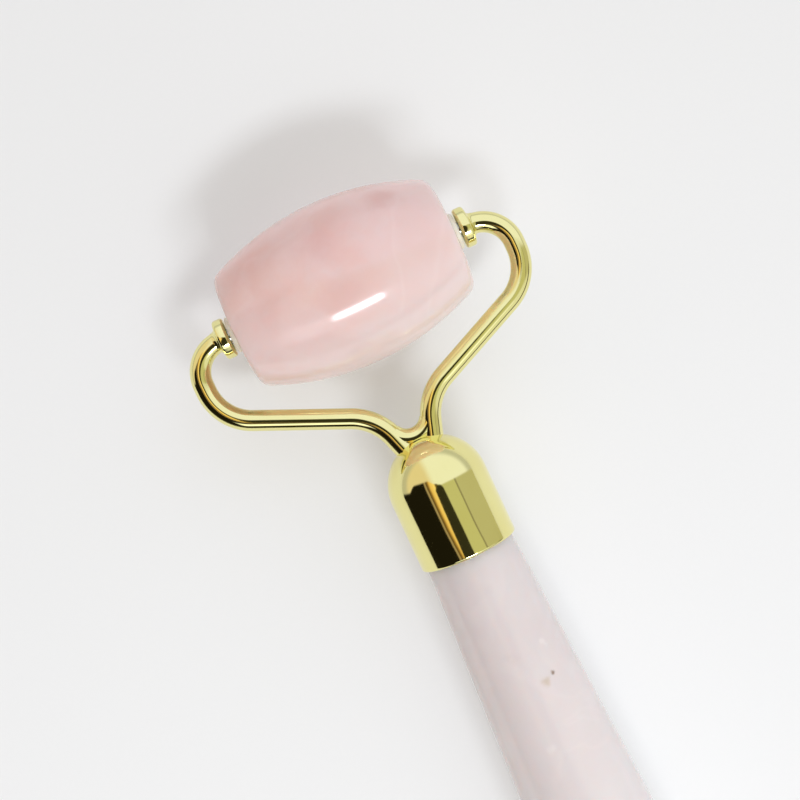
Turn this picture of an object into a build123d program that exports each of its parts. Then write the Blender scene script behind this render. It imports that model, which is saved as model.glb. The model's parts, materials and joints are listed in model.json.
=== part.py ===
from build123d import *
import os
from math import asin, atan2, cos, degrees, hypot, radians, sin, tan

# Single-headed face roller. A barrel of rose quartz turns between two bent arms,
# and the arms stand in a bell-shaped cap on the neck of a tapered quartz handle.
# Millimetres. While it is being built the roller's axis is X, its centre is the
# origin, and the handle runs towards -Y. lay_down() then rests the tool on its
# barrel and the swell of its grip, with +Z up and the floor at Z = 0.

# Barrel
ROLLER_LENGTH = 36.0
ROLLER_MIDDLE_R = 13.1
ROLLER_END_R = 9.0
ROLLER_EDGE_ROUND = 1.8
ROLLER_BORE_R = 2.5

# Pivots: a steel pin in a flanged nylon bushing at each end of the barrel
GLUE = 0.10
BUSHING_DEPTH = 8.0
FLANGE_R = 2.9
FLANGE_THICKNESS = 1.15
FLANGE_ROUND = 0.3
GLUE_SET_BACK = 0.2
PIN_R = 1.25
RUNNING_CLEARANCE = 0.05
END_FLOAT = 0.25
PIN_REACH = 7.5
PIN_CHAMFER = 0.3
DISC_R = 3.2
DISC_THICKNESS = 1.75
DISC_EDGE_ROUND = 0.45

# Arms: round rod, bent flat in the plane of the barrel's axis and the handle
ARM_R = 1.65
HEAD_WIDTH = 55.9
SHOULDER_STRAIGHT = 1.0
ELBOW_BEND_R = 7.7
ARM_SLOPE = 24.0
ARM_RUN = 15.1
ROOT_BEND_R = 8.7
ROOT_SLOPE = 72.0
ROOT_STRAIGHT = 4.2

# Cap, and the solid core inside its dome. Distances run down the handle from
# the barrel's axis.
CAP_MOUTH = 45.5
CAP_R = 7.85
CAP_WALL = 0.70
CAP_DOME_CENTRE = 34.2
CAP_RIM_ROUND = 0.32
CORE_FOOT = 36.2
STUD_TOP = 31.2
STUD_THREAD_R = 2.0
STUD_TIP_GAP = 0.3

# Handle, its glued neck and the stud in its bore
NECK_TOP = 36.4
NECK_R = 6.90
SHOULDER = 45.3
SHOULDER_R = 7.08
TAPER_ANGLE = 3.03
TAPER_END = 90.0
SWELL_R = 420.0
BUTT = 131.9
BUTT_ROUND = 6.5
HANDLE_BORE_R = 3.0
HANDLE_BORE_END = 62.5
STUD_R = 2.5
STUD_END = 60.5
STUD_GROOVES = 6
GROOVE_DEPTH = 0.35
GROOVE_WIDTH = 1.6
BORE_GLUE_TOP = 36.5
NECK_GLUE_TOP = 36.8
NECK_GLUE_FOOT = 45.2

# Glued and brazed faces stand this far apart
SEAT = 0.02

# Worked out
HALF = ROLLER_LENGTH / 2
DISC_FACE = HALF + FLANGE_THICKNESS + END_FLOAT
DISC_BACK = DISC_FACE + DISC_THICKNESS
SHOULDER_BEND_R = HEAD_WIDTH / 2 - ARM_R - DISC_BACK
CAP_INNER_R = CAP_R - CAP_WALL
TAPER_END_R = SHOULDER_R + (TAPER_END - SHOULDER) * tan(radians(TAPER_ANGLE))


def turned_on_x(points):
    """A turned piece: an outline of (x, radius) points spun about the barrel's axis."""
    return revolve(make_face(Polyline(*points, close=True)), Axis.X)


def turned_on_y(edges):
    """A turned piece: an outline of (radius, -distance) edges spun about the handle's axis."""
    return revolve(make_face(edges), Axis.Y)


def rims(piece, axis, radius, place):
    """The circular edges of one radius at one place along an axis."""
    return [
        edge
        for edge in piece.edges().filter_by(GeomType.CIRCLE)
        if abs(edge.radius - radius) < 1e-3
        and abs(edge.arc_center.dot(axis.direction) - place) < 1e-3
    ]


def roller_stone():
    """Barrel with one through bore and softly rounded rims."""
    crown = ThreePointArc((-HALF, ROLLER_END_R), (0, ROLLER_MIDDLE_R), (HALF, ROLLER_END_R))
    walls = Polyline(
        (HALF, ROLLER_END_R),
        (HALF, ROLLER_BORE_R),
        (-HALF, ROLLER_BORE_R),
        (-HALF, ROLLER_END_R),
    )
    barrel = revolve(make_face([crown, walls]), Axis.X)
    ends = rims(barrel, Axis.X, ROLLER_END_R, HALF)
    ends += rims(barrel, Axis.X, ROLLER_END_R, -HALF)
    return fillet(ends, ROLLER_EDGE_ROUND)


def bushing():
    """Flanged nylon sleeve in the right-hand end of the barrel's bore."""
    sleeve_r = ROLLER_BORE_R - GLUE
    bore_r = PIN_R + RUNNING_CLEARANCE
    flange_face = HALF + FLANGE_THICKNESS
    piece = turned_on_x(
        [
            (HALF - BUSHING_DEPTH, bore_r),
            (HALF - BUSHING_DEPTH, sleeve_r),
            (HALF, sleeve_r),
            (HALF, FLANGE_R),
            (flange_face, FLANGE_R),
            (flange_face, bore_r),
        ]
    )
    return fillet(rims(piece, Axis.X, FLANGE_R, flange_face), FLANGE_ROUND)


def bushing_glue():
    """Film of adhesive that holds the right-hand bushing in the stone."""
    return turned_on_x(
        [
            (HALF - BUSHING_DEPTH, ROLLER_BORE_R - GLUE + SEAT),
            (HALF - BUSHING_DEPTH, ROLLER_BORE_R - SEAT),
            (HALF - GLUE_SET_BACK, ROLLER_BORE_R - SEAT),
            (HALF - GLUE_SET_BACK, ROLLER_BORE_R - GLUE + SEAT),
        ]
    )


def pivot_pin():
    """Plain steel pin, flush with the disc's back, that the right-hand bushing turns on."""
    tip = HALF - PIN_REACH
    piece = turned_on_x([(tip, 0), (tip, PIN_R), (DISC_BACK, PIN_R), (DISC_BACK, 0)])
    return chamfer(rims(piece, Axis.X, PIN_R, tip), PIN_CHAMFER)


def thrust_disc():
    """Round disc brazed to the end of the right-hand arm; it keeps the barrel centred."""
    piece = turned_on_x(
        [
            (DISC_FACE, PIN_R + SEAT),
            (DISC_FACE, DISC_R),
            (DISC_BACK, DISC_R),
            (DISC_BACK, PIN_R + SEAT),
        ]
    )
    edges = rims(piece, Axis.X, DISC_R, DISC_FACE) + rims(piece, Axis.X, DISC_R, DISC_BACK)
    return fillet(edges, DISC_EDGE_ROUND)


def arm_path():
    """Centre line of the right-hand arm, from its disc to its root inside the cap."""
    shoulder = JernArc((DISC_BACK, 0), (1, 0), SHOULDER_BEND_R, -90)
    drop = Line(shoulder @ 1, shoulder @ 1 + (shoulder % 1) * SHOULDER_STRAIGHT)
    elbow = JernArc(drop @ 1, drop % 1, ELBOW_BEND_R, ARM_SLOPE - 90)
    run = Line(elbow @ 1, elbow @ 1 + (elbow % 1) * ARM_RUN)
    bend = JernArc(run @ 1, run % 1, ROOT_BEND_R, ROOT_SLOPE - ARM_SLOPE)
    root = Line(bend @ 1, bend @ 1 + (bend % 1) * ROOT_STRAIGHT)
    return Wire([shoulder, drop, elbow, run, bend, root])


def arm():
    """Right-hand arm, one bent round rod."""
    path = arm_path()
    section = Plane(origin=path @ 0, z_dir=path % 0) * Circle(ARM_R)
    return sweep(section, path=path)


def root_socket():
    """Drilling for the right-hand arm's root, through the cap and into its core."""
    path = arm_path()
    inwards = path % 1
    depth = ROOT_STRAIGHT + SEAT
    start = (path @ 1) - inwards * ROOT_STRAIGHT
    drill = Solid.make_cylinder(ARM_R + SEAT, depth, Plane(origin=start, z_dir=inwards))
    return drill


def dome_outline(radius, foot):
    """Half outline of a round-topped plug of this radius, down to its flat foot."""
    top = CAP_DOME_CENTRE - radius
    corner = radius * sin(radians(45))
    middle = (corner, corner - CAP_DOME_CENTRE)
    dome = ThreePointArc((0, -top), middle, (radius, -CAP_DOME_CENTRE))
    sides = Polyline((radius, -CAP_DOME_CENTRE), (radius, -foot), (0, -foot), (0, -top))
    return [dome, sides]


def ferrule_cap():
    """Thin bell-shaped cap with a rounded rim and two drillings in its dome."""
    bell = turned_on_y(dome_outline(CAP_R, CAP_MOUTH))
    hollow = turned_on_y(dome_outline(CAP_INNER_R, CAP_MOUTH))
    shell = bell - hollow
    shell = fillet(rims(shell, Axis.Y, CAP_R, -CAP_MOUTH), CAP_RIM_ROUND)
    drill = root_socket()
    return shell - drill - mirror(drill, Plane.YZ)


def ferrule_core():
    """Solid core brazed inside the dome. The arms and the handle's stud end in it."""
    plug = turned_on_y(dome_outline(CAP_INNER_R - 2 * SEAT, CORE_FOOT))
    hole_end = STUD_TOP - STUD_TIP_GAP
    thread = Pos(0, -(hole_end + CORE_FOOT) / 2, 0) * Rot(90, 0, 0)
    thread *= Cylinder(STUD_THREAD_R + SEAT, CORE_FOOT - hole_end)
    drill = root_socket()
    return plug - thread - drill - mirror(drill, Plane.YZ)


def handle_stud():
    """Stud screwed into the core and glued into the handle; ring grooves key the glue."""
    outline = [
        (0, -STUD_TOP),
        (STUD_THREAD_R, -STUD_TOP),
        (STUD_THREAD_R, -CORE_FOOT - SEAT),
        (STUD_R, -CORE_FOOT - SEAT),
    ]
    pitch = (STUD_END - NECK_TOP) / (STUD_GROOVES + 1)
    for count in range(1, STUD_GROOVES + 1):
        middle = -NECK_TOP - count * pitch
        half = GROOVE_WIDTH / 2
        outline += [
            (STUD_R, middle + half),
            (STUD_R - GROOVE_DEPTH, middle + half - GROOVE_DEPTH),
            (STUD_R - GROOVE_DEPTH, middle - half + GROOVE_DEPTH),
            (STUD_R, middle - half),
        ]
    outline += [(STUD_R, -STUD_END), (0, -STUD_END)]
    return revolve(make_face(Polyline(*outline, close=True)), Axis.Y)


def handle_stone():
    """Tapered grip with a glued neck, a blind bore, a slight swell and a rounded butt."""
    neck = Polyline(
        (0, -NECK_TOP),
        (NECK_R, -NECK_TOP),
        (NECK_R, -SHOULDER),
        (SHOULDER_R, -SHOULDER),
        (TAPER_END_R, -TAPER_END),
    )
    outward = radians(TAPER_ANGLE)
    inward = asin((BUTT - TAPER_END) / SWELL_R - sin(outward))
    swell = JernArc(
        neck @ 1,
        (sin(outward), -cos(outward)),
        SWELL_R,
        -degrees(outward + inward),
    )
    end = Polyline(swell @ 1, (0, -BUTT), (0, -NECK_TOP))
    grip = turned_on_y([neck, swell, end])
    butt_r = (swell @ 1).X
    grip = fillet(rims(grip, Axis.Y, butt_r, -BUTT), BUTT_ROUND)
    depth = HANDLE_BORE_END - NECK_TOP
    bore = Pos(0, -NECK_TOP - depth / 2, 0) * Rot(90, 0, 0) * Cylinder(HANDLE_BORE_R, depth)
    return grip - bore


def stud_epoxy():
    """Set epoxy that fills the handle's bore round the stud and past its end."""
    outer = HANDLE_BORE_R - SEAT
    foot = HANDLE_BORE_END - SEAT
    plug = turned_on_y(
        [Polyline((0, -BORE_GLUE_TOP), (outer, -BORE_GLUE_TOP), (outer, -foot), (0, -foot), close=True)]
    )
    return plug - handle_stud()


def neck_epoxy():
    """Set epoxy between the handle's neck and the inside of the cap."""
    top = NECK_GLUE_TOP
    foot = NECK_GLUE_FOOT
    inner = NECK_R + SEAT
    outer = CAP_INNER_R - SEAT
    return turned_on_y(
        [Polyline((inner, -top), (outer, -top), (outer, -foot), (inner, -foot), (inner, -top))]
    )


def lay_down(pieces):
    """Rest the tool on its barrel and the swell of its grip, centred over the origin."""
    swell_middle = TAPER_END + SWELL_R * sin(radians(TAPER_ANGLE))
    swell_max_r = TAPER_END_R + SWELL_R * (1 - cos(radians(TAPER_ANGLE)))
    swell_centre = swell_max_r - SWELL_R
    apart = hypot(swell_middle, swell_centre)
    lean = asin((ROLLER_MIDDLE_R - SWELL_R) / apart) - atan2(swell_centre, swell_middle)
    leant = {name: Rot(degrees(lean), 0, 0) * piece for name, piece in pieces.items()}
    box = Compound(list(leant.values())).bounding_box()
    middle_y = (box.min.Y + box.max.Y) / 2
    place = Pos(0, -middle_y, ROLLER_MIDDLE_R)
    print(f"lean {degrees(lean):.3f} deg, roller axis at Y {-middle_y:.3f}, Z {ROLLER_MIDDLE_R}")
    return {name: place * piece for name, piece in leant.items()}


def build():
    """Every piece of the tool by name, in the place where it is used."""
    pieces = {
        "roller_stone": roller_stone(),
        "ferrule_cap": ferrule_cap(),
        "ferrule_core": ferrule_core(),
        "handle_stud": handle_stud(),
        "handle_stone": handle_stone(),
        "stud_epoxy": stud_epoxy(),
        "neck_epoxy": neck_epoxy(),
    }
    paired = {
        "bushing": bushing(),
        "bushing_glue": bushing_glue(),
        "pivot_pin": pivot_pin(),
        "thrust_disc": thrust_disc(),
        "arm": arm(),
    }
    for name, piece in paired.items():
        pieces[f"{name}_right"] = piece
        pieces[f"{name}_left"] = mirror(piece, Plane.YZ)
    return lay_down(pieces)


os.makedirs("parts", exist_ok=True)
for name, piece in build().items():
    export_step(piece, f"parts/{name}.step")
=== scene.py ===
import json
import math
import bpy
from mathutils import Matrix, Vector


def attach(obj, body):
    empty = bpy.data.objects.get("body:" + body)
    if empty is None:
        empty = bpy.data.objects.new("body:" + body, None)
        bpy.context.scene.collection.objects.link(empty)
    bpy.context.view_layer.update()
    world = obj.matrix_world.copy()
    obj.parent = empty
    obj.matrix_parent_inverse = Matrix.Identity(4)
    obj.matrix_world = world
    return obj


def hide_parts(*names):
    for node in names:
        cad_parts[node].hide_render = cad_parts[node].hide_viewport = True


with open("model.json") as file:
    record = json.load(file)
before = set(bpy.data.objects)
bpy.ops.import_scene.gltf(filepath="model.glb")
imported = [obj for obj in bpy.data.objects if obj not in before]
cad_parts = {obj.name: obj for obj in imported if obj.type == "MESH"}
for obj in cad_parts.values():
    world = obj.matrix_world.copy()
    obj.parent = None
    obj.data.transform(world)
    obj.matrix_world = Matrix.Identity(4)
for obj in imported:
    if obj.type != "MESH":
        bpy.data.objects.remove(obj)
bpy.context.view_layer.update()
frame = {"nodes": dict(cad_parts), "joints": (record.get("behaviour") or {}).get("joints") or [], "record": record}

# ---------------------------------------------------------------- the handle
# A long tapered grip of very pale rose quartz, ground and tumbled to a gloss.
# Its neck and its bored end are glued into the cap; the butt is rounded, with
# a small flat where it was ground.

MM = 0.001
NECK_TOP = 36.4          # distances down the handle from the barrel's axis, in mm
SHOULDER = 45.3
TAPER_END = 90.0
BUTT = 131.9
NECK_R = 6.90
SHOULDER_R = 7.08
TAPER_ANGLE = 3.03       # degrees
SWELL_R = 420.0          # the long arc of the swelling grip
BUTT_ROUND = 6.5
BORE_R = 3.0
BORE_END = 62.5
WELD = 0.002 * MM        # points closer than this are one point
CREASE = math.radians(40)

# The tool lies a little nose-up, so every piece is modelled square, with the
# barrel's centre at the origin and the handle along -Y, and then laid down.
barrel_centre = Vector(frame["joints"][0]["pos_m"])
butt_face = frame["record"]["mounts"][0]
handle_up = -Vector(butt_face["axis"]).normalized()
side = Vector((1.0, 0.0, 0.0))
lying = Matrix.Translation(barrel_centre) @ Matrix(
    (side, handle_up, side.cross(handle_up))
).transposed().to_4x4()


def arc(centre, radius, start, end, count):
    """Points of an outline on an arc, from one angle to another in degrees."""
    angles = [math.radians(start + (end - start) * i / count) for i in range(count + 1)]
    return [
        (centre[0] + radius * math.cos(a), centre[1] + radius * math.sin(a))
        for a in angles
    ]


def close_up():
    """In edit mode: weld the seams, turn every face outward and leave."""
    bpy.ops.mesh.select_all(action="SELECT")
    bpy.ops.mesh.remove_doubles(threshold=WELD)
    bpy.ops.mesh.normals_make_consistent(inside=False)
    bpy.ops.object.mode_set(mode="OBJECT")


def turned(name, outline, axis, steps=128):
    """Draw an outline of (x, y) points in mm, then spin it into a turned piece."""
    bpy.ops.object.select_all(action="DESELECT")
    bpy.ops.mesh.primitive_plane_add(size=MM, location=(0, 0, 0))
    piece = bpy.context.object
    piece.name = name
    piece.data.name = name
    points = [Vector((x, y, 0)) * MM for x, y in outline]
    bpy.ops.object.mode_set(mode="EDIT")
    bpy.ops.mesh.select_all(action="SELECT")
    bpy.ops.mesh.merge(type="CENTER")
    bpy.ops.transform.translate(value=points[0])
    for here, there in zip(points, points[1:]):
        bpy.ops.mesh.extrude_region_move(TRANSFORM_OT_translate={"value": there - here})
    bpy.ops.mesh.select_all(action="SELECT")
    bpy.ops.mesh.spin(steps=steps, angle=2 * math.pi, center=(0, 0, 0), axis=axis)
    close_up()
    return piece


def pick(piece):
    """Make this the one selected and active piece."""
    bpy.ops.object.select_all(action="DESELECT")
    piece.select_set(True)
    bpy.context.view_layer.objects.active = piece


def lay(piece, material, body, slot_name, *nodes):
    """Lay a piece down in its place, dress it, and let it stand for its CAD nodes."""
    pick(piece)
    piece.matrix_world = lying
    bpy.ops.object.transform_apply(location=True, rotation=True, scale=True)
    bpy.ops.object.shade_smooth_by_angle(angle=CREASE)
    piece.data.materials.clear()
    piece.data.materials.append(material)
    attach(piece, body)
    if nodes:
        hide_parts(*nodes)


def linear(code):
    """An sRGB colour such as #E8D0C8, as the linear colour a shader wants."""
    channels = [int(code[i : i + 2], 16) / 255 for i in (1, 3, 5)]
    return [
        c / 12.92 if c <= 0.04045 else ((c + 0.055) / 1.055) ** 2.4 for c in channels
    ] + [1.0]


def add(tree, kind, settings=None, sockets=None):
    """Add one node with its settings; a socket gets a value or another node's output."""
    node = tree.nodes.new("ShaderNode" + kind)
    for key, value in (settings or {}).items():
        setattr(node, key, value)
    for key, value in (sockets or {}).items():
        if isinstance(value, bpy.types.NodeSocket):
            tree.links.new(value, node.inputs[key])
        else:
            node.inputs[key].default_value = value
    return node


SMOOTH = {"interpolation_type": "SMOOTHSTEP"}
COLOURS = {"data_type": "RGBA"}


def per_metre(size_mm):
    """Scale of a pattern whose features are this many millimetres across."""
    return 1000.0 / size_mm


def new_material(name):
    """An empty material: its tree, its Principled shader and a place on the object."""
    material = bpy.data.materials.new(name)
    material.use_nodes = True
    tree = material.node_tree
    tree.nodes.clear()
    shader = add(tree, "BsdfPrincipled")
    add(tree, "OutputMaterial", sockets={"Surface": shader.outputs["BSDF"]})
    return material, tree, shader, add(tree, "TexCoord").outputs["Object"]


def see_into(shader, weight, reach, scale_mm):
    """Light enters the surface and comes out again a little further on."""
    shader.inputs["Subsurface Weight"].default_value = weight
    shader.inputs["Subsurface Radius"].default_value = reach
    shader.inputs["Subsurface Scale"].default_value = scale_mm * MM


def on_top(x, down, up):
    """Where a point of the laid-down tool is: mm to the right, down the handle and up."""
    return lying @ (Vector((x, -down, up)) * MM)


# the drift of the clouds moves every point by half its reach or so
BEND = 6 * MM
HALF_BEND = Vector((BEND, BEND, BEND)) / 2
DRIFT_MM = 14.0
PALE_END_AMOUNT = 0.8          # how much paler the pale end gets
HAZE = 0.55
CRACK_MM = 22.0
CRACK_HALF_WIDTH = 0.030
CRACK_STRENGTH = 0.08
POLISH_MM = 2.5
WAVE_MM = 7.0
QUARTZ_IOR = 1.544


def rose_quartz(name, milky, pink, deep, cloud_mm, haze_mm, pale_end, patches, specks):
    """Tumbled rose quartz: cloudy pink inside a clear gloss, paler towards one end,
    with milky haze, faint healed cracks, a few deeper patches and mineral specks.
    On the barrel the pale end and one deeper patch are painted light."""
    material, tree, shader, place = new_material(name)
    drift = add(
        tree,
        "TexNoise",
        sockets={"Vector": place, "Scale": per_metre(DRIFT_MM), "Detail": 2.0},
    )
    bent = add(
        tree,
        "VectorMath",
        {"operation": "MULTIPLY_ADD"},
        {0: drift.outputs["Color"], 1: (BEND, BEND, BEND), 2: place},
    ).outputs[0]
    # clouds of deeper and paler pink
    clouds = add(
        tree,
        "TexNoise",
        sockets={
            "Vector": bent,
            "Scale": per_metre(cloud_mm),
            "Detail": 5.0,
            "Roughness": 0.55,
        },
    )
    depth = add(
        tree,
        "MapRange",
        SMOOTH,
        {"Value": clouds.outputs["Fac"], "From Min": 0.34, "From Max": 0.70},
    )
    colour = add(
        tree, "Mix", COLOURS, {0: depth.outputs[0], 6: linear(pink), 7: linear(deep)}
    ).outputs[2]
    # the stone grows paler from one end to the other; on the barrel this is painted
    # light, paler on the lower side turned to the softbox, deeper pink on the far top
    start, end = pale_end
    run = end - start
    step = run / run.length_squared
    along = add(tree, "VectorMath", {"operation": "DOT_PRODUCT"}, {0: bent, 1: step})
    paleness = add(
        tree,
        "MapRange",
        SMOOTH,
        {
            "Value": along.outputs["Value"],
            "From Min": start.dot(step),
            "From Max": end.dot(step),
            "To Max": PALE_END_AMOUNT,
        },
    )
    colour = add(
        tree, "Mix", COLOURS, {0: paleness.outputs[0], 6: colour, 7: linear(milky)}
    ).outputs[2]
    # milky haze, drawn out along the stone
    stretched = add(tree, "Mapping", sockets={"Vector": bent, "Scale": (0.45, 1.0, 1.0)})
    haze = add(
        tree,
        "TexNoise",
        sockets={
            "Vector": stretched.outputs[0],
            "Scale": per_metre(haze_mm),
            "Detail": 3.0,
        },
    )
    hazed = add(
        tree,
        "MapRange",
        SMOOTH,
        {
            "Value": haze.outputs["Fac"],
            "From Min": 0.50,
            "From Max": 0.80,
            "To Max": HAZE,
        },
    )
    colour = add(
        tree, "Mix", COLOURS, {0: hazed.outputs[0], 6: colour, 7: linear(milky)}
    ).outputs[2]
    # healed cracks: soft pale lines where a noise crosses its middle value
    crack = add(
        tree,
        "TexNoise",
        sockets={
            "Vector": bent,
            "Scale": per_metre(CRACK_MM),
            "Detail": 3.0,
            "Distortion": 0.5,
        },
    )
    off_middle = add(
        tree, "Math", {"operation": "SUBTRACT"}, {0: crack.outputs["Fac"], 1: 0.5}
    )
    distance = add(tree, "Math", {"operation": "ABSOLUTE"}, {0: off_middle.outputs[0]})
    line = add(
        tree,
        "MapRange",
        SMOOTH,
        {
            "Value": distance.outputs[0],
            "From Max": CRACK_HALF_WIDTH,
            "To Min": CRACK_STRENGTH,
            "To Max": 0.0,
        },
    )
    colour = add(
        tree, "Mix", COLOURS, {0: line.outputs[0], 6: colour, 7: linear("#F7ECE8")}
    ).outputs[2]
    # deeper patches and specks, each round a point inside the stone's skin; one patch
    # on the barrel is painted light, a deeper pink glow where light comes through the stone
    for where, centre, radius_mm, tint, strength in (
        [(bent, centre + HALF_BEND, *rest) for centre, *rest in patches]
        + [(place, *speck) for speck in specks]
    ):
        radius = radius_mm * MM
        away = add(tree, "VectorMath", {"operation": "DISTANCE"}, {0: where, 1: centre})
        wobble = add(
            tree,
            "TexNoise",
            sockets={
                "Vector": place,
                "Scale": per_metre(radius_mm * 0.8),
                "Detail": 3.0,
            },
        )
        edge = add(
            tree,
            "Math",
            {"operation": "MULTIPLY_ADD"},
            {0: wobble.outputs["Fac"], 1: radius, 2: away.outputs["Value"]},
        )
        spot = add(
            tree,
            "MapRange",
            SMOOTH,
            {
                "Value": edge.outputs[0],
                "From Min": radius * 0.5,
                "From Max": radius * 1.5,
                "To Min": strength,
                "To Max": 0.0,
            },
        )
        colour = add(
            tree, "Mix", COLOURS, {0: spot.outputs[0], 6: colour, 7: linear(tint)}
        ).outputs[2]
    tree.links.new(colour, shader.inputs["Base Color"])
    # the polish: a little uneven, with a soft waviness left by tumbling
    polish = add(
        tree,
        "TexNoise",
        sockets={"Vector": place, "Scale": per_metre(POLISH_MM), "Detail": 3.0},
    )
    rough = add(
        tree,
        "MapRange",
        sockets={"Value": polish.outputs["Fac"], "To Min": 0.08, "To Max": 0.17},
    )
    tree.links.new(rough.outputs[0], shader.inputs["Roughness"])
    wave = add(
        tree,
        "TexNoise",
        sockets={"Vector": place, "Scale": per_metre(WAVE_MM), "Detail": 1.0},
    )
    bump = add(
        tree,
        "Bump",
        sockets={"Strength": 0.25, "Distance": 0.05 * MM, "Height": wave.outputs["Fac"]},
    )
    tree.links.new(bump.outputs[0], shader.inputs["Normal"])
    shader.inputs["IOR"].default_value = QUARTZ_IOR
    see_into(shader, 0.75, (1.0, 0.66, 0.56), scale_mm=7.0)
    return material


pale_quartz = rose_quartz(
    "milky_rose_quartz",
    milky="#E8E3E1",
    pink="#E0D6D4",
    deep="#DBD0CE",
    cloud_mm=16.0,
    haze_mm=9.0,
    pale_end=(on_top(0, 40, 0), on_top(0, 110, 0)),
    patches=[
        (on_top(-1.8, 61.5, 7.7), 1.6, "#CFC3C2", 0.5),
        (on_top(-0.9, 75.5, 8.6), 1.5, "#F1ECEA", 0.7),
        (on_top(4.1, 61.0, 6.8), 1.0, "#F1ECEA", 0.5),
    ],
    specks=[
        (on_top(2.2, 66.9, 7.9), 1.1, "#CDBBA4", 0.6),
        (on_top(3.6, 66.2, 7.3), 0.55, "#8A6E56", 0.85),
    ],
)

# where the taper, the long arc of the swell and the round of the butt meet
outward = math.radians(TAPER_ANGLE)
taper_end_r = SHOULDER_R + (TAPER_END - SHOULDER) * math.tan(outward)
swell_middle = TAPER_END + SWELL_R * math.sin(outward)
swell_centre = (taper_end_r - SWELL_R * math.cos(outward), -swell_middle)
butt_round_y = BUTT_ROUND - BUTT
butt_turn = math.asin((butt_round_y - swell_centre[1]) / (SWELL_R - BUTT_ROUND))
butt_round_x = swell_centre[0] + (SWELL_R - BUTT_ROUND) * math.cos(butt_turn)
butt_turn = math.degrees(butt_turn)

TAPER_STEPS = 8
taper = [
    (
        SHOULDER_R + (taper_end_r - SHOULDER_R) * i / TAPER_STEPS,
        -SHOULDER - (TAPER_END - SHOULDER) * i / TAPER_STEPS,
    )
    for i in range(TAPER_STEPS)
]
grip_outline = (
    [(0, -BORE_END), (BORE_R, -BORE_END), (BORE_R, -NECK_TOP)]
    + [(NECK_R, -NECK_TOP), (NECK_R, -SHOULDER)]
    + taper
    + arc(swell_centre, SWELL_R, TAPER_ANGLE, butt_turn, 12)
    + arc((butt_round_x, butt_round_y), BUTT_ROUND, butt_turn, -90, 16)[1:]
    + [(0, -BUTT)]
)
grip = turned("stone_grip", grip_outline, axis=(0, 1, 0))
lay(grip, pale_quartz, "handle", "handle_stone", "handle_stone")

# ------------------------------------------------------- inside the handle
# A grooved steel stud stands in the handle's bore in set epoxy, and a second
# ring of epoxy fills the gap between the neck and the cap. None of it shows.

WAVE_TURN = 20.0         # radians that a wave pattern turns through per unit
WEAR = 0.15              # how much rougher the metal is where it is worn


def dress(material, *names):
    """Give CAD nodes that keep their own shape a better material."""
    for name in names:
        node = frame["nodes"][name]
        node.data.materials.clear()
        node.data.materials.append(material)


def turned_metal(name, colour, groove_mm, roughness):
    """Bare metal straight off the lathe: fine rings from the tool, catching the light."""
    material, tree, shader, place = new_material(name)
    rings = add(
        tree,
        "TexWave",
        {"wave_type": "BANDS", "bands_direction": "Y"},
        {
            "Vector": place,
            "Scale": per_metre(groove_mm) / WAVE_TURN,
            "Distortion": 0.4,
        },
    )
    wear = add(
        tree,
        "TexNoise",
        sockets={"Vector": place, "Scale": per_metre(1.5), "Detail": 4.0},
    )
    shade = add(
        tree,
        "MapRange",
        sockets={"Value": wear.outputs["Fac"], "To Min": 0.75, "To Max": 1.0},
    )
    tint = add(
        tree,
        "VectorMath",
        {"operation": "SCALE"},
        {0: linear(colour)[:3], "Scale": shade.outputs[0]},
    )
    tree.links.new(tint.outputs[0], shader.inputs["Base Color"])
    rough = add(
        tree,
        "MapRange",
        sockets={
            "Value": wear.outputs["Fac"],
            "To Min": roughness,
            "To Max": roughness + WEAR,
        },
    )
    tree.links.new(rough.outputs[0], shader.inputs["Roughness"])
    bump = add(
        tree,
        "Bump",
        sockets={"Strength": 0.4, "Distance": 0.02 * MM, "Height": rings.outputs["Fac"]},
    )
    tree.links.new(bump.outputs[0], shader.inputs["Normal"])
    shader.inputs["Metallic"].default_value = 1.0
    return material


def set_epoxy(name):
    """Two-part epoxy after it has set: a cloudy amber resin with trapped bubbles."""
    material, tree, shader, place = new_material(name)
    stir = add(
        tree,
        "TexNoise",
        sockets={
            "Vector": place,
            "Scale": per_metre(2.0),
            "Detail": 3.0,
            "Distortion": 1.0,
        },
    )
    resin = add(
        tree,
        "Mix",
        COLOURS,
        {0: stir.outputs["Fac"], 6: linear("#E8DDB4"), 7: linear("#D8C68E")},
    )
    tree.links.new(resin.outputs[2], shader.inputs["Base Color"])
    bubbles = add(tree, "TexVoronoi", sockets={"Vector": place, "Scale": per_metre(0.6)})
    bump = add(
        tree,
        "Bump",
        sockets={
            "Strength": 0.3,
            "Distance": 0.03 * MM,
            "Height": bubbles.outputs["Distance"],
        },
    )
    tree.links.new(bump.outputs[0], shader.inputs["Normal"])
    shader.inputs["Roughness"].default_value = 0.12
    shader.inputs["IOR"].default_value = 1.55
    see_into(shader, 0.5, (1.0, 0.8, 0.5), scale_mm=1.0)
    return material


stud_steel = turned_metal("turned_steel", "#A3A19D", groove_mm=0.2, roughness=0.28)
epoxy = set_epoxy("set_epoxy")
dress(stud_steel, "handle_stud")
dress(epoxy, "stud_epoxy", "neck_epoxy")

# ------------------------------------------------------------------- the cap
# A bell drawn from thin brass sheet, with a rounded mouth that covers the
# handle's neck. It is polished to a mirror and plated with pale gold, and the
# turned brass core inside it holds the arms' roots.

CAP_MOUTH = 45.5
CAP_R = 7.85
CAP_WALL = 0.70
DOME_CENTRE = 34.2
RIM_ROUND = 0.42
LIP_ROUND = 0.16


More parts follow.
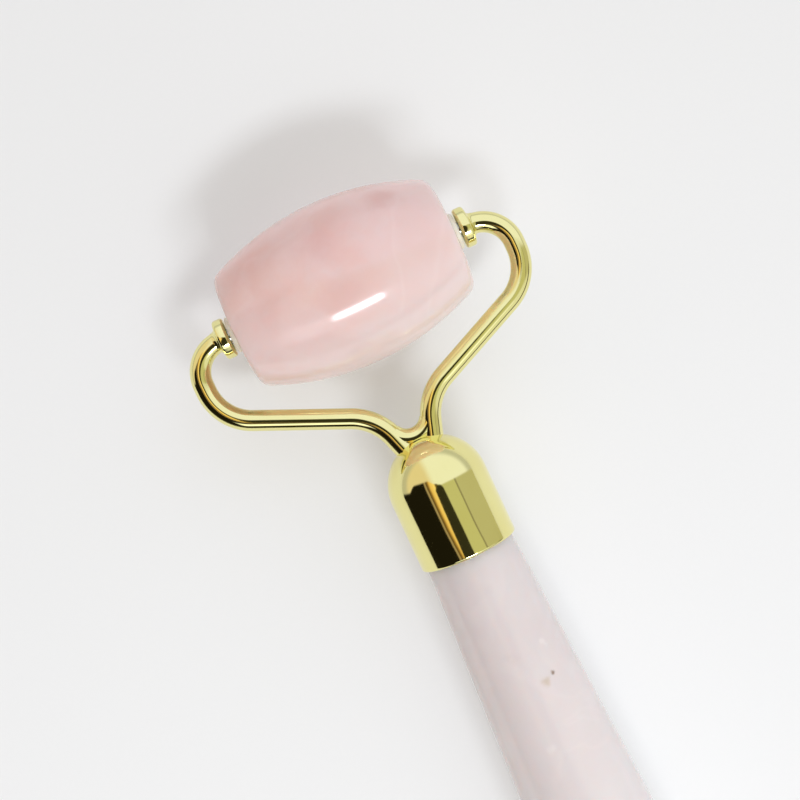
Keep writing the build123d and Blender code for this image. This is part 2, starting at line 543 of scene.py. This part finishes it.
def gold_plate(name):
    """Mirror-polished, gold-plated brass: a bright lemon gold with the faint orange
    peel and buffing haze that plating keeps."""
    material, tree, shader, place = new_material(name)
    patches = add(
        tree,
        "TexNoise",
        sockets={"Vector": place, "Scale": per_metre(6.0), "Detail": 3.0},
    )
    lemon = add(
        tree,
        "Mix",
        COLOURS,
        {0: patches.outputs["Fac"], 6: linear("#F1ECA9"), 7: linear("#ECE39A")},
    )
    tree.links.new(lemon.outputs[2], shader.inputs["Base Color"])
    buffing = add(
        tree,
        "TexNoise",
        sockets={
            "Vector": place,
            "Scale": per_metre(0.8),
            "Detail": 4.0,
            "Roughness": 0.65,
        },
    )
    rough = add(
        tree,
        "MapRange",
        sockets={"Value": buffing.outputs["Fac"], "To Min": 0.03, "To Max": 0.10},
    )
    tree.links.new(rough.outputs[0], shader.inputs["Roughness"])
    peel = add(
        tree,
        "TexNoise",
        sockets={"Vector": place, "Scale": per_metre(2.2), "Detail": 1.0},
    )
    bump = add(
        tree,
        "Bump",
        sockets={"Strength": 0.2, "Distance": 0.03 * MM, "Height": peel.outputs["Fac"]},
    )
    tree.links.new(bump.outputs[0], shader.inputs["Normal"])
    shader.inputs["Metallic"].default_value = 1.0
    return material


gold = gold_plate("polished_gold_plate")
inner_r = CAP_R - CAP_WALL
bell_outline = (
    arc((0, -DOME_CENTRE), CAP_R, 90, 0, 32)
    + arc((CAP_R - RIM_ROUND, RIM_ROUND - CAP_MOUTH), RIM_ROUND, 0, -90, 8)
    + arc((inner_r + LIP_ROUND, LIP_ROUND - CAP_MOUTH), LIP_ROUND, -90, -180, 4)
    + arc((0, -DOME_CENTRE), inner_r, 0, 90, 20)
)
bell = turned("gold_cap", bell_outline, axis=(0, 1, 0))
lay(bell, gold, "handle", "gold_plate", "ferrule_cap")

raw_brass = turned_metal("turned_brass", "#C9A866", groove_mm=0.25, roughness=0.22)
dress(raw_brass, "ferrule_core")

# ------------------------------------------------------------------ the arms
# Each arm is a brass rod bent three times in one plane: over the shoulder of
# the barrel, round the elbow, and into the cap. Its ends are brazed, with a
# small fillet, to the thrust disc and to the dome, and then plated.

ARM_R = 1.65
HEAD_WIDTH = 55.9
DISC_BACK = 21.15
SHOULDER_STRAIGHT = 1.0
ELBOW_BEND_R = 7.7
ARM_SLOPE = 24.0         # degrees off the barrel's axis
ARM_RUN = 15.1
ROOT_BEND_R = 8.7
ROOT_SLOPE = 72.0
ROOT_STRAIGHT = 4.2
ROD_SIDES = 48
DEGREES_PER_STEP = 4     # a bend is made of steps no longer than this or so
FEWEST_STEPS = 6
shoulder_bend_r = HEAD_WIDTH / 2 - ARM_R - DISC_BACK


def facing(heading):
    """The direction of a heading in degrees, in the plane of the arms."""
    return Vector((math.cos(math.radians(heading)), math.sin(math.radians(heading)), 0))


def bent_rod(name, start, heading, route, radius):
    """Push a ring along a route of straights and turns, as a rod goes through a bender."""
    here = Vector((start[0], start[1], 0))
    bpy.ops.object.select_all(action="DESELECT")
    bpy.ops.mesh.primitive_circle_add(
        vertices=ROD_SIDES,
        radius=radius * MM,
        location=here * MM,
        rotation=(0, math.radians(90), math.radians(heading)),
    )
    piece = bpy.context.object
    piece.name = name
    piece.data.name = name
    bpy.ops.object.transform_apply(location=True, rotation=True, scale=True)
    bpy.ops.object.mode_set(mode="EDIT")
    bpy.ops.mesh.select_all(action="SELECT")
    bpy.ops.mesh.edge_face_add()
    bpy.ops.mesh.select_all(action="SELECT")
    for straight, bend_r, turn in route:
        if straight:
            push = facing(heading) * straight
            bpy.ops.mesh.extrude_region_move(TRANSFORM_OT_translate={"value": push * MM})
            here = here + push
        if turn:
            to_centre = facing(heading + math.copysign(90, turn)) * bend_r
            centre = here + to_centre
            bpy.ops.mesh.spin(
                steps=max(FEWEST_STEPS, round(abs(turn) / DEGREES_PER_STEP)),
                angle=math.radians(-turn),
                center=centre * MM,
                axis=(0, 0, 1),
            )
            heading += turn
            here = centre - facing(heading + math.copysign(90, turn)) * bend_r
    close_up()
    return piece


def mirrored(piece, name):
    """The left-hand copy of a right-hand piece, with its own mesh."""
    pick(piece)
    bpy.ops.object.duplicate()
    copy = bpy.context.object
    copy.name = name
    copy.data.name = name
    bpy.ops.object.mode_set(mode="EDIT")
    bpy.ops.mesh.select_all(action="SELECT")
    bpy.ops.transform.mirror(
        constraint_axis=(True, False, False), center_override=(0, 0, 0)
    )
    bpy.ops.mesh.normals_make_consistent(inside=False)
    bpy.ops.object.mode_set(mode="OBJECT")
    return copy


right_arm = bent_rod(
    "bent_arm_right",
    start=(DISC_BACK, 0),
    heading=0,
    route=[
        (0, shoulder_bend_r, -90),
        (SHOULDER_STRAIGHT, ELBOW_BEND_R, ARM_SLOPE - 90),
        (ARM_RUN, ROOT_BEND_R, ROOT_SLOPE - ARM_SLOPE),
        (ROOT_STRAIGHT, 0, 0),
    ],
    radius=ARM_R,
)
left_arm = mirrored(right_arm, "bent_arm_left")
lay(right_arm, gold, "handle", "gold_plate", "arm_right")
lay(left_arm, gold, "handle", "gold_plate", "arm_left")

# Braze has run into the crotch between the two arms and left a round bead there,
# hollowed a little between them.
WEB_R = 1.5
WEB_MIDDLE = 25.95
WEB_BEND_R = 3.5
WEB_REACH = 62.0         # degrees to each side
web_end = facing(WEB_REACH) * WEB_BEND_R
web = bent_rod(
    "braze_web",
    start=(-web_end.y, WEB_BEND_R - web_end.x - WEB_MIDDLE),
    heading=-WEB_REACH,
    route=[(0, WEB_BEND_R, 2 * WEB_REACH)],
    radius=WEB_R,
)
lay(web, gold, "handle", "gold_plate")

# --------------------------------------------------- the discs and the pivots
# A turned brass disc on the end of each arm keeps the barrel centred. A ground
# steel pin, pressed through the disc, reaches into the barrel.

DISC_FACE = 19.40
DISC_R = 3.2
DISC_EDGE = 0.45         # the round of its two edges
PIN_R = 1.25
BRAZE_R = 0.9            # the fillet of braze between a disc and its arm
BRAZE_ROOT = 0.4         # how far the fillet's end is sunk in the arm

edge_y = DISC_R - DISC_EDGE
disc_outline = (
    [(DISC_FACE, PIN_R)]
    + arc((DISC_FACE + DISC_EDGE, edge_y), DISC_EDGE, 180, 90, 6)
    + arc((DISC_BACK - DISC_EDGE, edge_y), DISC_EDGE, 90, 0, 6)
    + arc((DISC_BACK + BRAZE_R, ARM_R + BRAZE_R), BRAZE_R, 180, 270, 8)
    + [(DISC_BACK + BRAZE_R, ARM_R - BRAZE_ROOT)]
    + [(DISC_BACK, PIN_R), (DISC_FACE, PIN_R)]
)
right_disc = turned("thrust_disc_gold_right", disc_outline, axis=(1, 0, 0), steps=72)
left_disc = mirrored(right_disc, "thrust_disc_gold_left")
lay(right_disc, gold, "handle", "gold_plate", "thrust_disc_right")
lay(left_disc, gold, "handle", "gold_plate", "thrust_disc_left")

pin_steel = turned_metal("ground_steel", "#C2C3C4", groove_mm=0.08, roughness=0.10)
dress(pin_steel, "pivot_pin_left", "pivot_pin_right")

# -------------------------------------------------------------- the bushings
# A flanged sleeve of natural nylon in each end of the barrel runs on the pin.
# Stone would crack under a press fit, so the sleeves are glued in.

FLANGE_FACE = 19.15
FLANGE_R = 2.9
SLEEVE_R = 2.4
SLEEVE_END = 10.0
BUSHING_BORE_R = 1.30
FLANGE_ROUND = 0.3
BARREL_HALF = 18.0


def natural_nylon(name):
    """Moulded, undyed nylon: off-white, waxy and slightly see-through."""
    material, tree, shader, place = new_material(name)
    flow = add(
        tree,
        "TexNoise",
        sockets={
            "Vector": place,
            "Scale": per_metre(3.0),
            "Detail": 3.0,
            "Distortion": 0.6,
        },
    )
    cream = add(
        tree,
        "Mix",
        COLOURS,
        {0: flow.outputs["Fac"], 6: linear("#F6EEDD"), 7: linear("#EBDFC8")},
    )
    tree.links.new(cream.outputs[2], shader.inputs["Base Color"])
    grain = add(
        tree,
        "TexNoise",
        sockets={"Vector": place, "Scale": per_metre(0.25), "Detail": 2.0},
    )
    bump = add(
        tree,
        "Bump",
        sockets={"Strength": 0.3, "Distance": 0.01 * MM, "Height": grain.outputs["Fac"]},
    )
    tree.links.new(bump.outputs[0], shader.inputs["Normal"])
    shader.inputs["Roughness"].default_value = 0.38
    shader.inputs["IOR"].default_value = 1.53
    see_into(shader, 0.6, (1.0, 0.8, 0.6), scale_mm=1.2)
    return material


nylon = natural_nylon("natural_nylon")
flange_edge = (FLANGE_FACE - FLANGE_ROUND, FLANGE_R - FLANGE_ROUND)
bushing_outline = (
    [(SLEEVE_END, BUSHING_BORE_R), (SLEEVE_END, SLEEVE_R), (BARREL_HALF, SLEEVE_R)]
    + [(BARREL_HALF, FLANGE_R)]
    + arc(flange_edge, FLANGE_ROUND, 90, 0, 5)
    + [(FLANGE_FACE, BUSHING_BORE_R), (SLEEVE_END, BUSHING_BORE_R)]
)
right_bushing = turned("nylon_bushing_right", bushing_outline, axis=(1, 0, 0), steps=64)
left_bushing = mirrored(right_bushing, "nylon_bushing_left")
lay(right_bushing, nylon, "roller", "nylon", "bushing_right")
lay(left_bushing, nylon, "roller", "nylon", "bushing_left")
dress(epoxy, "bushing_glue_left", "bushing_glue_right")

# ---------------------------------------------------------------- the barrel
# A barrel of cloudy rose quartz, ground on a profile wheel, drilled through
# and tumbled to a gloss, with softly rounded ends.

BARREL_MIDDLE_R = 13.1
BARREL_END_R = 9.0
BARREL_EDGE_ROUND = 1.8
BARREL_BORE_R = 2.5

pink_quartz = rose_quartz(
    "cloudy_rose_quartz",
    milky="#E6D5D2",
    pink="#EDD1CC",
    deep="#EAC2B9",
    cloud_mm=13.0,
    haze_mm=6.0,
    # painted light: paler on the lower side turned to the softbox, deeper pink on the far top
    pale_end=(on_top(-2, -8, 9), on_top(7, 9, 5)),
    patches=[
        (on_top(9.7, -8.5, 8.5), 3.5, "#DFAFA7", 0.5),
        (on_top(-1.0, -5.1, 12.0), 4.5, "#DFAFA7", 0.40),
        # painted light: a deeper pink glow on the near underside, where light comes through the stone
        (on_top(0, 10, -6), 8.0, "#D99A8C", 0.7),
    ],
    specks=[],
)
# the crown is one arc over the whole length, rounded off at both ends
swell = BARREL_MIDDLE_R - BARREL_END_R
crown_r = (BARREL_HALF**2 + swell**2) / (2 * swell)
crown_centre = (0, BARREL_MIDDLE_R - crown_r)
end_x = BARREL_HALF - BARREL_EDGE_ROUND
end_y = crown_centre[1] + math.sqrt((crown_r - BARREL_EDGE_ROUND) ** 2 - end_x**2)
end_angle = math.degrees(math.atan2(end_y - crown_centre[1], end_x))
barrel_outline = (
    [(-BARREL_HALF, BARREL_BORE_R)]
    + arc((-end_x, end_y), BARREL_EDGE_ROUND, 180, 180 - end_angle, 10)
    + arc(crown_centre, crown_r, 180 - end_angle, end_angle, 40)[1:]
    + arc((end_x, end_y), BARREL_EDGE_ROUND, end_angle, 0, 10)[1:]
    + [(BARREL_HALF, BARREL_BORE_R), (-BARREL_HALF, BARREL_BORE_R)]
)
barrel = turned("stone_barrel", barrel_outline, axis=(1, 0, 0), steps=160)
lay(barrel, pink_quartz, "roller", "roller_stone", "roller_stone")

# ------------------------------------------------------------------ the stage
# A sheet of matt opal board under the tool, which glows a little of itself, painted
# light with no lamp under it, so that the shadows stay light, and a soft room round it:
# a softbox over the butt end, a bright far side, and a dark wall to the left, which the gold mirrors.

BOARD_SIZE = 6.0         # metres
# painted light: the board's own glow, with no lamp behind it
BOARD_PAINTED_GLOW = 0.26


def opal_board(name):
    """Matt opal board with a painted glow of its own that lifts its shadows, and a trace of tooth."""
    material, tree, shader, place = new_material(name)
    tooth = add(
        tree,
        "TexNoise",
        sockets={"Vector": place, "Scale": per_metre(0.7), "Detail": 3.0},
    )
    # greyer than white, as the painted glow makes up the rest
    white = add(
        tree,
        "Mix",
        COLOURS,
        {0: tooth.outputs["Fac"], 6: linear("#CFCFCD"), 7: linear("#CDCDCB")},
    )
    tree.links.new(white.outputs[2], shader.inputs["Base Color"])
    shader.inputs["Roughness"].default_value = 0.9
    shader.inputs["Emission Color"].default_value = linear("#FFFFFF")
    shader.inputs["Emission Strength"].default_value = BOARD_PAINTED_GLOW
    return material


bpy.ops.object.select_all(action="DESELECT")
bpy.ops.mesh.primitive_plane_add(size=BOARD_SIZE, location=(0, 0, 0))
board = bpy.context.object
board.name = "white_board"
board.data.materials.append(opal_board("opal_board"))

scene = bpy.context.scene
scene.view_settings.view_transform = "Standard"

# The room is painted by direction alone: X to the right, Y away from the butt and
# Z up, each from -1 to 1. Its colours are linear, and above 1 where it is a lamp.
world = bpy.data.worlds.new("soft_room")
scene.world = world
world.use_nodes = True
room = world.node_tree
room.nodes.clear()
way = add(room, "TexCoord").outputs["Generated"]
axes = add(room, "SeparateXYZ", sockets={0: way})
right, ahead, up = (axes.outputs[name] for name in "XYZ")

# how far a direction leans to the right of straight up, in degrees, and what is
# there: black, a beige line, dark, an orange curtain, dark, and then olive
BLACK = (0.012, 0.010, 0.006, 1)
BEIGE = (0.45, 0.34, 0.22, 1)
OLIVE = (0.62, 0.61, 0.38, 1)
DARK_LINE = (0.30, 0.28, 0.20, 1)
DULL_OLIVE = (0.57, 0.55, 0.39, 1)
BANDS = [
    (-90, BLACK),
    (-32, BLACK),
    (-30, BEIGE),
    (-28, BEIGE),
    (-26, (0.10, 0.06, 0.02, 1)),
    (-23, (0.30, 0.17, 0.05, 1)),
    (-19, (0.95, 0.62, 0.22, 1)),
    (-10, (1.15, 0.86, 0.40, 1)),
    (-7, (0.22, 0.14, 0.03, 1)),
    (-3, (0.10, 0.08, 0.03, 1)),
    (-1, OLIVE),
    (36, OLIVE),
    (37.5, DARK_LINE),
    (39.5, DARK_LINE),
    (41, DULL_OLIVE),
    (90, DULL_OLIVE),
]
DRAWN_BELOW = 0.2        # past this the bands are drawn towards the left
DRAWN_BY = 0.8
straight_lean = add(room, "Math", {"operation": "ARCTAN2"}, {0: right, 1: up})
below = add(room, "Math", {"operation": "ADD"}, {0: ahead, 1: DRAWN_BELOW})
drop = add(room, "Math", {"operation": "MINIMUM"}, {0: below.outputs[0], 1: 0.0})
lean = add(
    room,
    "Math",
    {"operation": "MULTIPLY_ADD"},
    {0: drop.outputs[0], 1: DRAWN_BY, 2: straight_lean.outputs[0]},
)
across = add(
    room,
    "MapRange",
    sockets={
        "Value": lean.outputs[0],
        "From Min": math.radians(-90),
        "From Max": math.radians(90),
    },
)
striped = add(room, "ValToRGB", sockets={"Fac": across.outputs[0]})
stops = striped.color_ramp.elements
for _ in range(len(BANDS) - 2):
    stops.new(0.5)
for stop, (angle, colour) in zip(stops, BANDS):
    stop.position = (angle + 90) / 180
    stop.color = colour
walls = striped.outputs[0]

# the far side, beyond the barrel, is bright from just past straight up; its edge
# bends away to the left, and the wall is warmer there and dimmer near the floor
FAR_WARM = (0.88, 0.76, 0.62, 1)
FAR_WHITE = (1.0, 1.03, 1.19, 1)
FAR_DIM = (0.52, 0.53, 0.56, 1)
bend = add(
    room,
    "MapRange",
    sockets={
        "Value": right,
        "From Min": -0.1,
        "From Max": 0.1,
        "To Min": 0.10,
        "To Max": -0.03,
    },
)
up_left = add(
    room,
    "MapRange",
    SMOOTH,
    {"Value": right, "From Min": -0.35, "From Max": -0.12, "To Min": 0.2, "To Max": 0.0},
)
high = add(room, "MapRange", SMOOTH, {"Value": up, "From Min": 0.3, "From Max": 0.55})
far_edge = add(
    room,
    "Math",
    {"operation": "MULTIPLY_ADD"},
    {0: up_left.outputs[0], 1: high.outputs[0], 2: bend.outputs[0]},
)
past_edge = add(
    room, "Math", {"operation": "SUBTRACT"}, {0: ahead, 1: far_edge.outputs[0]}
)
far = add(room, "MapRange", SMOOTH, {"Value": past_edge.outputs[0], "From Max": 0.09})
far_right = add(
    room, "MapRange", SMOOTH, {"Value": right, "From Min": -0.36, "From Max": -0.06}
)
far_wall = add(
    room, "Mix", COLOURS, {0: far_right.outputs[0], 6: FAR_WARM, 7: FAR_WHITE}
).outputs[2]
far_low = add(
    room,
    "MapRange",
    SMOOTH,
    {"Value": up, "From Min": 0.10, "From Max": 0.35, "To Min": 0.8, "To Max": 0.0},
)
far_wall = add(
    room, "Mix", COLOURS, {0: far_low.outputs[0], 6: far_wall, 7: FAR_DIM}
).outputs[2]
walls = add(room, "Mix", COLOURS, {0: far.outputs[0], 6: walls, 7: far_wall}).outputs[2]

# the ceiling is bright again towards the butt, except over the dark left side
NEAR_CEILING = (0.95, 0.97, 0.98, 1)
near_top = add(
    room,
    "MapRange",
    SMOOTH,
    {"Value": ahead, "From Min": -0.52, "From Max": -0.34, "To Min": 0.75, "To Max": 0.0},
)
near_right = add(
    room, "MapRange", SMOOTH, {"Value": right, "From Min": -0.35, "From Max": -0.05}
)
ceiling = add(
    room,
    "Math",
    {"operation": "MULTIPLY"},
    {0: near_top.outputs[0], 1: near_right.outputs[0]},
)
walls = add(
    room, "Mix", COLOURS, {0: ceiling.outputs[0], 6: walls, 7: NEAR_CEILING}
).outputs[2]

# a bright ceiling strip over the butt end, each side of the softbox
STRIP_TILT = 47.0        # degrees from straight up
STRIP_HALF_WIDTH = (8.0, 14.0)   # where it begins and ends to fade
STRIP_MIDDLE = -0.1
STRIP_HALF_LENGTH = (0.40, 0.52)
STRIP_LIGHT = (1.45, 1.47, 1.55, 1)
tilt = add(room, "Math", {"operation": "ARCTAN2"}, {0: ahead, 1: up})
off_strip = add(
    room,
    "Math",
    {"operation": "ADD"},
    {0: tilt.outputs[0], 1: math.radians(STRIP_TILT)},
)
off_strip = add(room, "Math", {"operation": "ABSOLUTE"}, {0: off_strip.outputs[0]})
strip = add(
    room,
    "MapRange",
    SMOOTH,
    {
        "Value": off_strip.outputs[0],
        "From Min": math.radians(STRIP_HALF_WIDTH[0]),
        "From Max": math.radians(STRIP_HALF_WIDTH[1]),
        "To Min": 1.0,
        "To Max": 0.0,
    },
)
off_middle = add(room, "Math", {"operation": "SUBTRACT"}, {0: right, 1: STRIP_MIDDLE})
off_middle = add(room, "Math", {"operation": "ABSOLUTE"}, {0: off_middle.outputs[0]})
strip_end = add(
    room,
    "MapRange",
    SMOOTH,
    {
        "Value": off_middle.outputs[0],
        "From Min": STRIP_HALF_LENGTH[0],
        "From Max": STRIP_HALF_LENGTH[1],
        "To Min": 1.0,
        "To Max": 0.0,
    },
)
strip = add(
    room,
    "Math",
    {"operation": "MULTIPLY"},
    {0: strip.outputs[0], 1: strip_end.outputs[0]},
)
walls = add(
    room, "Mix", COLOURS, {0: strip.outputs[0], 6: walls, 7: STRIP_LIGHT}
).outputs[2]

# the foot of the near wall is dark
NEAR_FOOT = (0.10, 0.09, 0.06, 1)
near = add(
    room,
    "MapRange",
    SMOOTH,
    {"Value": ahead, "From Min": -0.4, "From Max": -0.2, "To Min": 1.0, "To Max": 0.0},
)
low = add(
    room,
    "MapRange",
    SMOOTH,
    {"Value": up, "From Min": 0.14, "From Max": 0.24, "To Min": 1.0, "To Max": 0.0},
)
foot = add(
    room, "Math", {"operation": "MULTIPLY"}, {0: near.outputs[0], 1: low.outputs[0]}
)
walls = add(room, "Mix", COLOURS, {0: foot.outputs[0], 6: walls, 7: NEAR_FOOT}).outputs[2]

# whoever leans over the table is a soft dark oval, from overhead to the butt side
LEANING_DARK = (0.035, 0.032, 0.018, 1)
ENDLESS = 1000           # so long in Z that the height of a direction doesn't count
leaning = add(
    room,
    "Mapping",
    {"vector_type": "TEXTURE"},
    {
        "Vector": way,
        "Location": (-0.06, -0.30, 0),
        "Rotation": (0, 0, math.radians(-10)),
        "Scale": (0.20, 0.36, ENDLESS),
    },
)
from_middle = add(room, "VectorMath", {"operation": "LENGTH"}, {0: leaning.outputs[0]})
oval = add(
    room,
    "MapRange",
    SMOOTH,
    {
        "Value": from_middle.outputs["Value"],
        "From Min": 0.88,
        "From Max": 1.1,
        "To Min": 1.0,
        "To Max": 0.0,
    },
)
walls = add(
    room, "Mix", COLOURS, {0: oval.outputs[0], 6: walls, 7: LEANING_DARK}
).outputs[2]

# straight through the camera the room is an even pale grey
BACKDROP = (0.80, 0.80, 0.80, 1)
seen = add(room, "LightPath").outputs["Is Camera Ray"]
shown = add(room, "Mix", COLOURS, {0: seen, 6: walls, 7: BACKDROP})
sky = add(room, "Background", sockets={"Color": shown.outputs[2], "Strength": 1.0})
add(room, "OutputWorld", sockets={"Surface": sky.outputs[0]})

# the softbox faces the tool's head from over the butt end
KEY_HEIGHT = math.radians(48)
KEY_SIDE = 0.02
KEY_DISTANCE = 0.60      # metres
KEY_SIZE = (0.24, 0.08)
KEY_WATTS = 1.5
KEY_COLOUR = (0.95, 1.0, 1.09)
toward = Vector((KEY_SIDE, -math.cos(KEY_HEIGHT), math.sin(KEY_HEIGHT))).normalized()
key_data = bpy.data.lights.new("softbox", "AREA")
key_data.shape = "RECTANGLE"
key_data.size, key_data.size_y = KEY_SIZE
key_data.energy = KEY_WATTS
key_data.color = KEY_COLOUR
key = bpy.data.objects.new("softbox", key_data)
scene.collection.objects.link(key)
key.location = barrel_centre + toward * KEY_DISTANCE
key.rotation_mode = "QUATERNION"
key.rotation_quaternion = toward.to_track_quat("Z", "Y")
key.visible_camera = False

# The camera looks straight down on the tool, turned so that the handle runs
# to the lower right and leaves the view.
ROLL = -25.0             # degrees
VIEW_HEIGHT = 0.200      # metres over the barrel's axis
VIEW_SIDE = 0.13         # mm along and down the tool to the middle of the view
VIEW_DOWN = 19.89
VIEW_WIDTH = 122.888     # mm across the view at the barrel's axis
NEAR_LIMIT = 0.01        # metres
FAR_LIMIT = 20.0

camera_data = bpy.data.cameras.new("camera")
camera = bpy.data.objects.new("camera", camera_data)
scene.collection.objects.link(camera)
scene.camera = camera
looked_at = lying @ (Vector((VIEW_SIDE, -VIEW_DOWN, 0)) * MM)
camera.location = (looked_at.x, looked_at.y, barrel_centre.z + VIEW_HEIGHT)
camera.rotation_euler = (0, 0, math.radians(ROLL))
camera_data.lens = camera_data.sensor_width * VIEW_HEIGHT / (VIEW_WIDTH * MM)
camera_data.clip_start = NEAR_LIMIT
camera_data.clip_end = FAR_LIMIT
